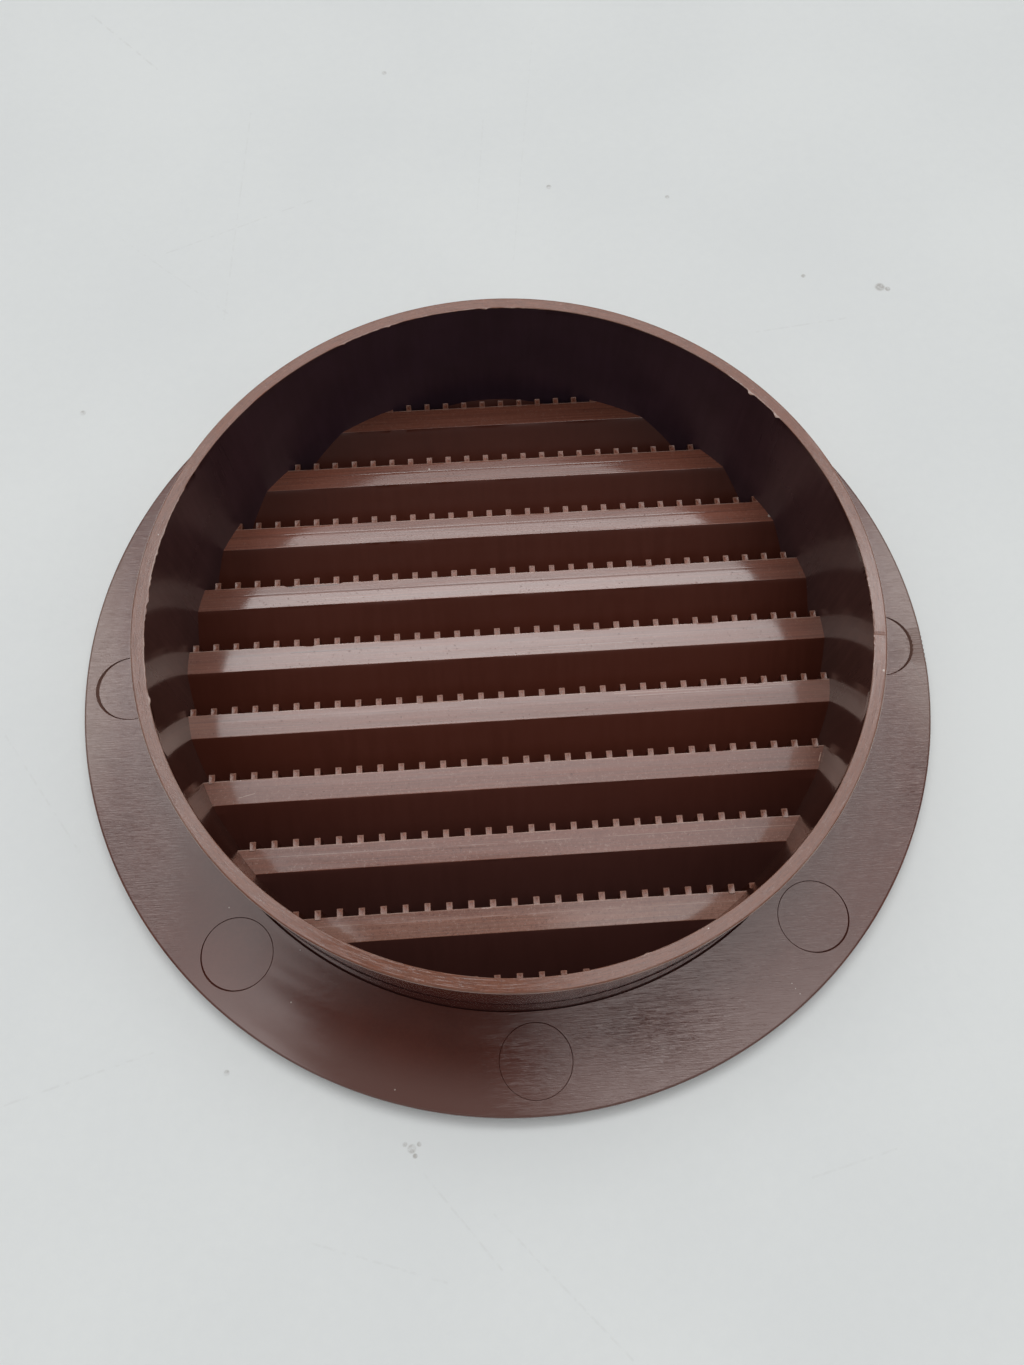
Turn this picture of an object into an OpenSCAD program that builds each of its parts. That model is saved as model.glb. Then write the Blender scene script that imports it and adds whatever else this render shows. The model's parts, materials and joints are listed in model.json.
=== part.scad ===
// Round louvred vent grille with a push-in collar, moulded in one piece.
// Millimetres. The origin is the centre of the front face, and +Z runs out of the back
// along the collar. The slats run along X, and their channels fall towards -Y at the front.

/* [Flange] */
// Outside diameter of the flange
flange_d = 126; // [122:0.5:150]
// Thickness of the flange
flange_t = 3.5; // [3:0.1:5]
// Radius of the flange's outer edge on the front face
front_edge_r = 1.2; // [0.5:0.1:1.5]
// Radius of the flange's outer edge on the back face
back_edge_r = 0.4; // [0.2:0.1:1]

/* [Collar] */
// Outside diameter of the collar where it enters the duct
collar_d = 98.5; // [90:0.5:104]
// Height of the collar above the flange's back face
collar_h = 22.5; // [16:0.5:40]
// Wall thickness at the collar's rim
rim_wall = 1.8; // [1.6:0.1:2.4]
// Draft angle of the collar's inner wall
draft = 1; // [0.5:0.1:1.5]
// Growth of the collar's outer radius towards its root
root_swell = 0.45; // [0.2:0.05:0.8]
// Height over which the collar swells to its root
root_swell_h = 6; // [4:0.5:8]
// Radius of the rim's outer edge
rim_outer_edge_r = 0.35; // [0.2:0.05:0.6]
// Radius of the rim's inner edge
rim_inner_edge_r = 0.1; // [0.05:0.05:0.4]

/* [Louvres] */
// Distance from one slat to the next
slat_pitch = 10; // [9:0.1:12]
// Width of the flat land along the top of each slat
land_w = 3.5; // [3:0.1:4.5]
// Height of the lands above the flange's back face
land_rise = 3; // [2:0.1:5]
// Angle of the slats' sloping faces above the front face
slat_angle = 45; // [40:1:60]
// Height of the upright lip along the inner edge of each land
lip_h = 0.8; // [0.5:0.1:1.5]
// Radius of the outer edge of each land
land_edge_r = 0.1; // [0.05:0.05:0.5]
// Distance from the centre line to the outer edge of the land nearest it
slat_offset = 0.5; // [0:0.1:3]
// Distance that the slat sunk in the collar wall at +Y stands in from its place in the row
wall_slat_shift = 1; // [0:0.1:2]

/* [Insect comb] */
// Distance from one bar of the comb to the next
bar_pitch = 2.97; // [2.5:0.01:4]
// Width of each bar
bar_w = 0.85; // [0.6:0.05:1.2]
// Distance that each bar stands out from its slat's lip
bar_reach = 1.05; // [0.6:0.05:1.5]

/* [Ejector marks] */
// Number of ejector marks round the flange's back face
mark_count = 8; // [4:1:12]
// Diameter of each ejector mark
mark_d = 9.8; // [6:0.1:10]
// Depth of each ejector mark
mark_depth = 0.3; // [0.1:0.05:0.8]
// Distance that the marks sit in from the middle of the flange's ring towards the collar
mark_shift = 0.3; // [0:0.05:0.5]

/* [Hidden] */
// Distance that the louvres run into the collar wall, so that they are one solid with it
wall_bite = 0.8;
// Distance that each bar runs into its slat's lip
lip_bite = 0.1;
// Height by which the cut of an ejector mark clears the flange's back face
cut_clearance = 1;

flange_r = flange_d / 2;
collar_r = collar_d / 2;
root_r = collar_r + root_swell;
rim_z = flange_t + collar_h;
rim_inner_r = collar_r - rim_wall;
// Inner radius of the drafted wall at height z
function wall_r(z) = rim_inner_r - (rim_z - z) * tan(draft);

land_z = flange_t + land_rise;
// Distance along Y that a sloping face covers over height h
function slope_run(h) = h / tan(slat_angle);

// The slats and bars that reach the opening, counted along +Y from the centre line
opening_r = wall_r(land_z) + wall_bite;
first_slat = floor((-opening_r - land_w - bar_reach - slat_offset) / slat_pitch) + 1;
last_slat = ceil((opening_r + slope_run(land_z) - slat_offset) / slat_pitch) - 1;
// Number of bars on each side of the middle in the row that crosses the opening at y
function bars_each_side(y) =
    abs(y) < opening_r ? floor(sqrt(opening_r * opening_r - y * y) / bar_pitch + 0.5) : 0;
mark_ring_r = (flange_r + root_r) / 2 - mark_shift;

$fn = 120;

// Outline of half the flange and collar, to be turned about the collar's axis.
// Each convex edge is cut back to its tangent points and filled by a circle.
module ring_profile() {
    polygon([
        [wall_r(0), 0],
        [flange_r - front_edge_r, 0],
        [flange_r, front_edge_r],
        [flange_r, flange_t - back_edge_r],
        [flange_r - back_edge_r, flange_t],
        [root_r, flange_t],
        [collar_r, flange_t + root_swell_h],
        [collar_r, rim_z - rim_outer_edge_r],
        [collar_r - rim_outer_edge_r, rim_z],
        [rim_inner_r + rim_inner_edge_r, rim_z],
        [rim_inner_r, rim_z - rim_inner_edge_r]
    ]);
    translate([flange_r - front_edge_r, front_edge_r]) circle(r = front_edge_r);
    translate([flange_r - back_edge_r, flange_t - back_edge_r]) circle(r = back_edge_r);
    translate([collar_r - rim_outer_edge_r, rim_z - rim_outer_edge_r]) circle(r = rim_outer_edge_r);
    translate([rim_inner_r + rim_inner_edge_r, rim_z - rim_inner_edge_r]) circle(r = rim_inner_edge_r);
}

// Shallow round marks that the ejector pins left in the flange's back face
module ejector_marks() {
    for (i = [0 : mark_count - 1])
        rotate(i * 360 / mark_count)
            translate([mark_ring_r, 0, flange_t - mark_depth])
                cylinder(d = mark_d, h = mark_depth + cut_clearance);
}

// Cross-section of one slat: the land on top, its lip at +Y and two sloping faces
// that run down to the front face. The land's outer edge is at zero.
module slat_profile() {
    edge_cut = land_edge_r * tan(slat_angle / 2);
    polygon([
        [edge_cut, land_z],
        [land_w, land_z],
        [land_w, land_z - lip_h],
        [land_w - slope_run(land_z - lip_h), 0],
        [-slope_run(land_z), 0],
        [-edge_cut * cos(slat_angle), land_z - edge_cut * sin(slat_angle)]
    ]);
    translate([edge_cut, land_z - land_edge_r]) circle(r = land_edge_r);
}

module slat() {
    rotate([90, 0, 90])
        linear_extrude(height = 2 * opening_r, center = true)
            slat_profile();
}

// Upright bars that close the gap behind one slat, from its lip to the foot of the next.
// There are none where count is zero.
module comb(count) {
    if (count > 0)
        for (i = [-count : count - 1])
            translate([(i + 0.5) * bar_pitch - bar_w / 2, land_w - lip_bite, 0])
                cube([bar_w, bar_reach + lip_bite, land_z]);
}

// All the slats and combs, trimmed to a disc that runs into the collar wall
module louvres() {
    intersection() {
        for (k = [first_slat : last_slat]) {
            land_y = slat_offset + k * slat_pitch - (k == last_slat ? wall_slat_shift : 0);
            translate([0, land_y, 0]) {
                slat();
                comb(bars_each_side(land_y + land_w));
            }
        }
        cylinder(r1 = wall_r(0) + wall_bite, r2 = opening_r, h = land_z);
    }
}

module vent_grille() {
    color([0.36, 0.25, 0.22]) {
        difference() {
            rotate_extrude() ring_profile();
            ejector_marks();
        }
        louvres();
    }
}

vent_grille();
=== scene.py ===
import json
import math
import random

import bmesh
import bpy
from mathutils import Matrix, Vector, noise


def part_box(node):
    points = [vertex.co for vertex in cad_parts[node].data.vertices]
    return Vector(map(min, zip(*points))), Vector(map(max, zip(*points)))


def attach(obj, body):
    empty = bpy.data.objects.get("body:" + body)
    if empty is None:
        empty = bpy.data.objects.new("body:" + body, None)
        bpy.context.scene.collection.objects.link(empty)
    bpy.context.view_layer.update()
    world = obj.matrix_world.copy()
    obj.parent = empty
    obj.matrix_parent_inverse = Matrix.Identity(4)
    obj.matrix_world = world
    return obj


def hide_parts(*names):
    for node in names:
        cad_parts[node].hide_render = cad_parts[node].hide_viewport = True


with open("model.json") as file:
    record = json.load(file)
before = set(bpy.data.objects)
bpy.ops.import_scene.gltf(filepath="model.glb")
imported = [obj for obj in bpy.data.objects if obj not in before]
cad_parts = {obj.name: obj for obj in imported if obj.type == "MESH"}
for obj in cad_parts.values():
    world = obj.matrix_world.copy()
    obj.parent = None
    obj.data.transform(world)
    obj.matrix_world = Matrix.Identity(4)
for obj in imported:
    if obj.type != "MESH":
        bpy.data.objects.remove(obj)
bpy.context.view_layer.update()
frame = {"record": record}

# A round louvred vent grille, moulded in brown plastic, lies face down on white paper.
# Sizes are in millimetres and angles in degrees. Millimetres become metres where a mesh,
# the camera or a texture is made.
MM = 0.001
BODY = "root"
NODE = "vent_grille"
SEED = 7

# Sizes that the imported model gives
low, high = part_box(NODE)
mounts = {mount["name"]: mount for mount in frame["record"]["mounts"]}
FLANGE_R = (high.x - low.x) / 2 / MM
RIM_Z = high.z / MM
FLANGE_T = mounts["wall_face"]["pos_m"][2] / MM
COLLAR_R = mounts["collar"]["dims"]["r_mm"]

# Flange and collar
FRONT_EDGE_R = 1.2
BACK_EDGE_R = 0.4
RIM_WALL = 1.8
RIM_OUTER_EDGE_R = 0.35
RIM_INNER_EDGE_R = 0.1
DRAFT = 1.0
ROOT_SWELL = 0.45
ROOT_SWELL_H = 6.0
ROOT_GROOVE_W = 0.16
ROOT_GROOVE_D = 0.16
RIM_INNER_R = COLLAR_R - RIM_WALL
ROOT_R = COLLAR_R + ROOT_SWELL

# Louvres: lands along the tops of the slats, and sloping faces that run down to the front
SLAT_PITCH = 10.0
SLAT_OFFSET = 0.5
WALL_SLAT_SHIFT = 1.0
FIRST_SLAT = -5
LAST_SLAT = 5
SLAT_ANGLE = 45.0
LAND_W = 3.5
LAND_RISE = 3.0
LAND_Z = FLANGE_T + LAND_RISE
LIP_H = 0.8
LIP_EDGE = 0.04
LAND_EDGE_R = 0.1
WALL_BITE = 0.25
# The slats and bars stop just short of the front face, so that no two faces lie in one plane
SLAT_FOOT = 0.01
BAR_FOOT = 0.02

# Insect comb
BAR_PITCH = 2.97
BAR_W = 0.85
BAR_REACH = 1.05
BAR_BITE = 0.1
BAR_ROOT = 0.3
BAR_EDGE = 0.05
BAR_DISH = 0.1
BAR_DISH_SHARE = 0.42
BAR_DROP = 0.012
COMB_BITE = 0.8

# Ejector marks on the flange
MARK_COUNT = 8
MARK_R = 4.9
MARK_DEPTH = 0.05
MARK_RING_R = (FLANGE_R + ROOT_R) / 2 - 0.3
MARK_GROOVE_D = 0.16
MARK_SHOULDER = 0.03
MARK_WEAR = 0.42
MARK_CLEARANCE = 0.3

# The burr on the rim's inner edge: ragged stretches and single teeth, each given as its angle,
# half width and reach
BURRS = ((172, 26, 0.26), (-6, 16, 0.12), (92, 18, 0.12), (40, 9, 0.12), (112, 8, 0.14))
TEETH = ((40.3, 0.5, 0.5), (34.2, 0.4, 0.42), (116.4, 0.3, 0.2), (107.9, 0.35, 0.25),
         (113.3, 0.25, 0.25), (90.7, 0.4, 0.22), (175.5, 1.2, 0.3), (-167.3, 0.7, 0.25),
         (-74.0, 0.5, 0.15))
# A cut across the rim
RIM_STEP_AT = -8.6
RIM_STEP_W = 0.16
RIM_STEP_D = 0.04
# Ripples pressed into the flange's right edge
RIPPLE_AT = (62.0, -0.6)
RIPPLE_SPREAD = (2.2, 3.2)
RIPPLE_PITCH = 0.72
RIPPLE_D = 0.1
# How far flat faces sink here and there
RIM_WAVER = 0.012
FLANGE_WAVER = 0.015
SLAT_WAVER = 0.006
# How far the edges of the slats wander: those of the lands' lines, the others and the lips
LINE_WANDER = 0.06
SLAT_WANDER = 0.015
LIP_WANDER = 0.02

# Steps of the meshes
TURN_STEP = 0.5
RIPPLED_TURN = (-12.0, 5.0)
RIPPLED_TURN_STEP = 0.14
SLAT_STEPS = 150
MARK_STEPS = 120
# Short step beside a fillet, which keeps the fillet's shading off the flat face
FLAT_MARGIN = 0.05
# An edge is shaded sharp where it turns more than this
SHARP = 35
SHELL_SHARP = 28
BAR_SHARP = 30

# Camera: where it is, and how it looks down, turns and rolls
CAMERA_AT = (-4.555, -59.47, 155.94)
CAMERA_ELEVATION = 69.475
CAMERA_AZIMUTH = 4.873
CAMERA_ROLL = 1.214
CAMERA_LENS = 28.78
CAMERA_SENSOR = 36.0
CAMERA_CLIP = 0.01


def wall_r(z):
    """Inner radius of the drafted collar wall at height z."""
    return RIM_INNER_R - (RIM_Z - z) * math.tan(math.radians(DRAFT))


def slope_run(height):
    """Distance along Y that a slat's sloping face covers over a height."""
    return height / math.tan(math.radians(SLAT_ANGLE))


def wave(x, seed, size):
    """Smooth seeded noise from -1 to 1 along one line, with bumps of the given size."""
    return noise.noise((x / size, seed * 3.7, SEED))


def lerp(a, b, t):
    return a + (b - a) * t


def smooth_between(x, start, end):
    """0 before start and 1 after end, with a smooth rise between them."""
    t = min(max((x - start) / (end - start), 0), 1)
    return t * t * (3 - 2 * t)


def turn_between(a, b):
    """The smaller angle between two directions."""
    return abs((a - b + 180) % 360 - 180)


def line(start, end, steps):
    """Points from start to end, both counted."""
    return [tuple(lerp(a, b, i / steps) for a, b in zip(start, end)) for i in range(steps + 1)]


def flat_line(start, end, steps):
    """Points from start to end, with a short step at each end."""
    t = FLAT_MARGIN / math.dist(start, end)
    near = tuple(lerp(a, b, t) for a, b in zip(start, end))
    far = tuple(lerp(b, a, t) for a, b in zip(start, end))
    return [start] + line(near, far, steps) + [end]


def arc(centre, radius, start, end, steps):
    """Points round a centre from one angle to another."""
    turns = [math.radians(lerp(start, end, i / steps)) for i in range(steps + 1)]
    return [(centre[0] + radius * math.cos(t), centre[1] + radius * math.sin(t)) for t in turns]


def closed_piece(name, verts, faces, materials, zones=None, sharp=SHARP):
    """A closed piece from points in millimetres, with a material index for each face."""
    mesh = bpy.data.meshes.new(name)
    mesh.from_pydata([Vector(v) * MM for v in verts], [], faces)
    for material in materials:
        mesh.materials.append(material)
    if zones:
        mesh.polygons.foreach_set("material_index", zones)
    work = bmesh.new()
    work.from_mesh(mesh)
    bmesh.ops.recalc_face_normals(work, faces=work.faces)
    work.to_mesh(mesh)
    work.free()
    mesh.shade_smooth()
    mesh.set_sharp_from_angle(angle=math.radians(sharp))
    piece = bpy.data.objects.new(name, mesh)
    bpy.context.scene.collection.objects.link(piece)
    return piece


# Node trees


class Tree:
    """Short ways to add linked nodes to the node tree of a material or a world."""

    def __init__(self, owner):
        owner.use_nodes = True
        self.owner = owner
        self.tree = owner.node_tree
        self.tree.nodes.clear()

    def add(self, kind, inputs=(), **settings):
        """A node with its settings, and its inputs by name or number."""
        node = self.tree.nodes.new(kind)
        for name, value in settings.items():
            setattr(node, name, value)
        for key, value in dict(inputs).items():
            self.put(node.inputs[key], value)
        return node

    def put(self, socket, value):
        """Links a socket to another node's output, or sets it to a plain value."""
        if isinstance(value, bpy.types.NodeSocket):
            self.tree.links.new(value, socket)
        else:
            socket.default_value = value

    def math(self, operation, first, *others):
        """A value made by one operation, which is repeated for each further value."""
        for other in others or (0.0,):
            node = self.add("ShaderNodeMath", {0: first, 1: other}, operation=operation)
            first = node.outputs[0]
        return first

    def times(self, *values):
        return self.math("MULTIPLY", *values)

    def plus(self, *values):
        return self.math("ADD", *values)

    def minus(self, a, b):
        return self.math("SUBTRACT", a, b)

    def largest(self, *values):
        return self.math("MAXIMUM", *values)

    def vector(self, operation, a, b=(0, 0, 0)):
        node = self.add("ShaderNodeVectorMath", {0: a, 1: b}, operation=operation)
        return node.outputs["Value" if operation in ("LENGTH", "DOT_PRODUCT") else "Vector"]

    def split(self, vector):
        return self.add("ShaderNodeSeparateXYZ", {0: vector}).outputs

    def join(self, x, y, z):
        return self.add("ShaderNodeCombineXYZ", {0: x, 1: y, 2: z}).outputs[0]

    def noise(self, vector, scale=1.0, detail=2.0, roughness=0.5):
        return self.add("ShaderNodeTexNoise", {
            "Vector": vector, "Scale": scale, "Detail": detail, "Roughness": roughness,
        }).outputs["Fac"]

    def remap(self, value, start, end, to_start=0.0, to_end=1.0, smooth=True):
        """A value that goes from to_start to to_end while the given one goes from start to end."""
        return self.add("ShaderNodeMapRange", {
            "Value": value, "From Min": start, "From Max": end,
            "To Min": to_start, "To Max": to_end,
        }, interpolation_type="SMOOTHSTEP" if smooth else "LINEAR").outputs["Result"]

    def vary(self, noise, low=0.0, high=1.0):
        """A value from low to high that follows a noise."""
        return self.remap(noise, 0.35, 0.65, low, high)

    def mix(self, factor, a, b):
        node = self.add("ShaderNodeMix", data_type="RGBA")
        self.put(node.inputs["Factor"], factor)
        self.put(node.inputs[6], a)
        self.put(node.inputs[7], b)
        return node.outputs[2]

    def bump(self, height, distance, normal=None):
        """Bump of a height from 0 to 1, whose full height is the distance in millimetres."""
        inputs = {"Height": height, "Distance": distance * MM, "Strength": 1.0}
        if normal is not None:
            inputs["Normal"] = normal
        return self.add("ShaderNodeBump", inputs).outputs[0]


def new_material(name):
    """The tree of a new material, and the place on the part in millimetres."""
    tree = Tree(bpy.data.materials.new(name))
    place = tree.add("ShaderNodeTexCoord").outputs["Object"]
    return tree, tree.vector("MULTIPLY", place, (1 / MM,) * 3)


def fibres(tree, place, size, detail=3.0, roughness=0.5):
    """Noise whose grains are as long as the size along each axis."""
    return tree.noise(tree.vector("DIVIDE", place, size), detail=detail, roughness=roughness)


def flat_distance(tree, x, y):
    """Distance from the origin on the XY plane."""
    return tree.vector("LENGTH", tree.join(x, y, 0.0))


def round_place(tree, place):
    """Place along the turn, out from the axis and up. Its seam is at the cut across the rim."""
    x, y, z = tree.split(tree.add("ShaderNodeVectorRotate", {
        "Vector": place, "Angle": math.radians(180 - RIM_STEP_AT),
    }, rotation_type="Z_AXIS").outputs[0])
    turn = tree.math("ARCTAN2", y, x)
    return tree.join(tree.times(turn, COLLAR_R), flat_distance(tree, x, y), z)


# Colours of the plastic: clean where the mould polished it, lighter where it is brushed or worn
CLEAN = (0.079, 0.0185, 0.0103, 1)
FACE = (0.083, 0.0192, 0.0107, 1)
WALL = (0.080, 0.028, 0.025, 1)
WALL_NEAR = (0.158, 0.088, 0.082, 1)
WALL_FAR = (0.091, 0.051, 0.078, 1)
BRUSHED = (0.088, 0.020, 0.0115, 1)
# Lighter near border of the flange: partly painted reflection of the sky, partly a duller surface
FLANGE_BORDER = (0.136, 0.068, 0.057, 1)
WORN_LAND = (0.174, 0.0545, 0.0322, 1)
WORN_RIM = (0.174, 0.0545, 0.0255, 1)
BAR_WORN = (0.200, 0.062, 0.034, 1)
# Light colour of wear, also used for painted highlights and painted sheen
WEAR_AND_HIGHLIGHT = (0.40, 0.27, 0.22, 1)
DUST = (0.55, 0.47, 0.42, 1)
# Dark colour of dashes, scratches, cuts and dirt, also used for painted shade
DARK_MARK_AND_SHADE = (0.030, 0.008, 0.006, 1)
WHITE = (1, 1, 1, 1)
# Tints of the nearest lands and slopes: on the lands a lighter, greyer tint, partly wear and partly
# painted sheen; on the slopes painted shade, with less red bounce light
NEAR_LAND_WEAR_AND_SHEEN_TINT = (1.28, 1.7, 1.88, 1)
NEAR_STRIP_WEAR_AND_SHEEN_TINT = (1.08, 1.28, 1.36, 1)
NEAR_FACE_SHADE_TINT = (0.66, 0.92, 1.3, 1)

# How strongly each kind of surface reflects
PLASTIC_IOR = 1.6
FLANGE_IOR = 1.64
FLANGE_TINT = (1.0, 0.935, 0.92, 1)
WALL_IOR = 1.44
FACE_IOR = 1.45
WORN_IOR = 1.3
POLISH_IOR = 1.6
# A thin brown film on the collar's inside, which shows where the wall is seen edgeways
FILM_IOR = 1.02
FILM_TINT = (0.91, 0.86, 0.83, 1)


def tinted(colour, share):
    """A colour made lighter or darker."""
    return tuple(channel * share for channel in colour[:3]) + (1,)


def scaled(tree, colour, share):
    """A colour made lighter or darker by a value that varies."""
    return tree.vector("MULTIPLY", colour, tree.join(share, share, share))


def painted(tree, colour, *layers):
    """The colour with layers of paint over it. Each has its paint, its mask and its strength."""
    for paint, mask, strength in layers:
        colour = tree.mix(tree.times(mask, strength), colour, paint)
    return colour


def lined(tree, lines, colour, dark, light):
    """A colour that goes from dark to light with the lines' noise."""
    return tree.mix(tree.remap(lines, 0.36, 0.64), tinted(colour, dark), tinted(colour, light))


def mottle(tree, place, colour, spread=0.12):
    """The plastic's colour with cloudy and speckled variation."""
    cloud = tree.noise(place, scale=0.12, detail=3.0)
    speck = tree.noise(place, scale=1.7, detail=4.0, roughness=0.75)
    shade = tree.vary(tree.plus(tree.times(cloud, 0.6), tree.times(speck, 0.4)))
    return tree.mix(shade, tinted(colour, 1 - spread), tinted(colour, 1 + spread))


def streaks(tree, place, size, start, end):
    """Mask of scattered streaks of the given size along each axis."""
    return tree.remap(fibres(tree, place, size, roughness=0.6), start, end)


def specks(tree, place, spots):
    """Mask of round specks on the XY plane, each given as x, y and radius."""
    x, y = tree.split(place)[:2]
    masks = []
    for spot_x, spot_y, radius in spots:
        away = flat_distance(tree, tree.minus(x, spot_x), tree.minus(y, spot_y))
        masks.append(tree.remap(away, radius * 0.5, radius, 1.0, 0.0))
    return tree.largest(*masks)


def stroke(tree, place, start, end, width):
    """Mask of a straight scratch on the XY plane."""
    length = math.dist(start, end)
    ahead = ((end[0] - start[0]) / length, (end[1] - start[1]) / length, 0)
    away = tree.vector("SUBTRACT", tree.vector("MULTIPLY", place, (1, 1, 0)), tuple(start) + (0,))
    along = tree.largest(tree.vector("DOT_PRODUCT", away, ahead), 0.0)
    along = tree.math("MINIMUM", along, length)
    aside = tree.vector("SUBTRACT", away, scaled(tree, ahead, along))
    return tree.remap(tree.vector("LENGTH", aside), width * 0.25, width * 0.75, 1.0, 0.0)


def scratches(tree, place, lines):
    """Mask of straight scratches, each given as its two ends, width and strength."""
    return tree.largest(*(tree.times(stroke(tree, place, start, end, width), strength)
                          for start, end, width, strength in lines))


def soft_patch(tree, u, v, centre, spread):
    """1 where u and v are at the centre, falling smoothly to 0 about twice the spread away."""
    du = tree.math("DIVIDE", tree.minus(u, centre[0]), spread[0])
    dv = tree.math("DIVIDE", tree.minus(v, centre[1]), spread[1])
    square = tree.plus(tree.times(du, du), tree.times(dv, dv))
    return tree.math("EXPONENT", tree.times(square, -1.0))


def finish_plastic(tree, colour, rough, normal, ior=PLASTIC_IOR, tint=WHITE,
                   polish=0.0, polish_rough=0.1, polish_ior=POLISH_IOR, polish_tint=WHITE):
    """Ends a plastic's tree in its shader and gives the material. Worn plastic has a rough gloss
    under a sharper one, whose share is the polish."""
    shader = tree.add("ShaderNodeBsdfPrincipled", {
        "Base Color": colour, "Roughness": rough, "Normal": normal,
        "IOR": ior, "Specular Tint": tint,
        "Coat Weight": polish, "Coat Roughness": polish_rough, "Coat Normal": normal,
        "Coat IOR": polish_ior, "Coat Tint": polish_tint,
    })
    tree.add("ShaderNodeOutputMaterial", {"Surface": shader.outputs[0]})
    return tree.owner


def front_material():
    """The show face: even and smooth, with a fine grain."""
    tree, place = new_material("front_face")
    grain = tree.noise(place, scale=5.0, detail=2.0, roughness=0.7)
    rough = tree.vary(tree.noise(place, scale=0.3, detail=3.0), 0.22, 0.28)
    return finish_plastic(tree, mottle(tree, place, CLEAN), rough, tree.bump(grain, 0.003))


# Marks along X on the flange's back: how long, wide and high one of each kind is
FLANGE_DASH = (3.0, 0.12, 2.6)
FLANGE_HAIR = (3.6, 0.2, 3.6)
FLANGE_GRAIN = (1.8, 0.11, 1.8)
FLANGE_SCUFF = (1.8, 0.13, 1.8)
# Sets the scuffs apart from the grain
SCUFF_SHIFT = (31, 17, 5)
EDGE_PATCH = (3.0, 3.0, 3.0)
# Where the mould dragged over the plastic: the middle and the spread of each patch
NEAR_DRAG = ((18, -54), (9, 5))
RIGHT_DRAG = ((60, -20), (40, 20))
FLANGE_SPECKS = ((-40.9, -33.3, 0.14), (-32.3, -46.5, 0.13), (-18.7, -58.4, 0.12),
                 (-31.1, -39.7, 0.09), (35.3, -48.4, 0.1), (35.7, -49.1, 0.09), (36.2, -49.8, 0.09))
FLANGE_SCRATCHES = (((61.9, -7.05), (60.5, -2.75), 0.14, 0.8), ((60.2, 1.4), (60.3, -1.2), 0.1, 0.5))


def brushing(tree, place):
    """How strongly the flange is brushed: most in its right half, at its far left and in the
    dragged patches, and less towards +Y."""
    x, y = tree.split(place)[:2]
    near = tree.times(soft_patch(tree, x, y, *NEAR_DRAG), 0.7)
    right = tree.times(soft_patch(tree, x, y, *RIGHT_DRAG), tree.remap(x, 50, 60, 0.0, 0.5))
    left = tree.remap(x, -44, -54, 0.0, 0.5)
    strength = tree.plus(tree.remap(x, -12, 8, 0.03, 0.35), tree.largest(near, right, left))
    return tree.times(tree.math("MINIMUM", strength, 1.0), tree.remap(y, -24, -8, 1.0, 0.38))


def flange_colour(tree, place, strength, dash):
    """The flange's brown, with dark dashes, light scuffs, a light outer edge that is partly wear and
    partly a painted highlight, a lighter near border that is partly painted reflection and partly a
    duller surface, and painted sheen at its far left and right.
    """
    x, y = tree.split(place)[:2]
    aside = tree.math("ABSOLUTE", x)
    radius = flat_distance(tree, x, y)
    sides = tree.times(tree.remap(aside, 48, 58), tree.remap(y, -24, -4))
    scuffs = streaks(tree, tree.vector("ADD", place, SCUFF_SHIFT), FLANGE_SCUFF, 0.54, 0.7)
    scuffs = tree.times(scuffs, tree.largest(strength, sides))
    # Light outer edge, strongest on the near side: partly wear, partly a painted highlight
    edge = tree.times(tree.remap(radius, FLANGE_R - 0.3, FLANGE_R - 0.08),
                      streaks(tree, place, EDGE_PATCH, 0.35, 0.6))
    # Lighter border on the near side: partly painted reflection of the sky, partly a duller surface
    border = tree.times(tree.remap(radius, FLANGE_R - 9, FLANGE_R - 1), tree.remap(y, -38, -54))
    # Painted sheen at the far left and right of the flange
    pale = tree.times(tree.remap(aside, 56, 62), tree.remap(y, -26, -6))
    return painted(
        tree, mottle(tree, place, BRUSHED),
        (tinted(DARK_MARK_AND_SHADE, 1.4), dash, 0.35),
        (WEAR_AND_HIGHLIGHT, scuffs, 0.34),
        (tinted(WORN_RIM, 1.5), edge, tree.remap(y, -30, -10, 0.45, 0.22)),
        (FLANGE_BORDER, border, 0.95),
        (DARK_MARK_AND_SHADE, scratches(tree, place, FLANGE_SCRATCHES), 1.0),
        (DUST, specks(tree, place, FLANGE_SPECKS), 0.7),
        (tinted(WEAR_AND_HIGHLIGHT, 0.55), pale, 0.55))


def flange_material():
    """The flange's back: brushed along X by the mould's surface, and duller beside the collar."""
    tree, place = new_material("flange_back")
    strength = brushing(tree, place)
    dash = tree.times(streaks(tree, place, FLANGE_DASH, 0.53, 0.63), strength)
    grain = fibres(tree, place, FLANGE_GRAIN, 2.0, 0.6)
    hairs = fibres(tree, place, FLANGE_HAIR, 2.0, 0.7)
    radius = flat_distance(tree, *tree.split(place)[:2])
    dull = tree.remap(radius, ROOT_R + 6, ROOT_R + 1)
    haze = tree.times(tree.noise(place, scale=6.0, detail=1.0), dull)
    rough = tree.plus(tree.vary(grain, 0.09, 0.12), tree.times(dash, 0.1), tree.times(dull, 0.03))
    normal = tree.bump(grain, 0.0035)
    normal = tree.bump(haze, 0.0022, normal)
    normal = tree.bump(tree.times(tree.remap(hairs, 0.3, 0.7), strength), 0.02, normal)
    normal = tree.bump(tree.times(dash, -1.0), 0.009, normal)
    colour = flange_colour(tree, place, strength, dash)
    return finish_plastic(tree, colour, rough, normal, FLANGE_IOR, FLANGE_TINT)


# The collar's outside, by height: a lighter band, a faint line of painted shade below it, and a lighter
# top
WALL_LINE = (12, 0.5, 0.4)
WALL_BAND_Z = (17.0, 18.5)
WALL_SHADE_LINE_Z = 16.6
WALL_TOP_Z = (22.0, 25.0)
# Half height of the painted shade along the collar's root
ROOT_SHADE_LINE_H = 0.03


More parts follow.
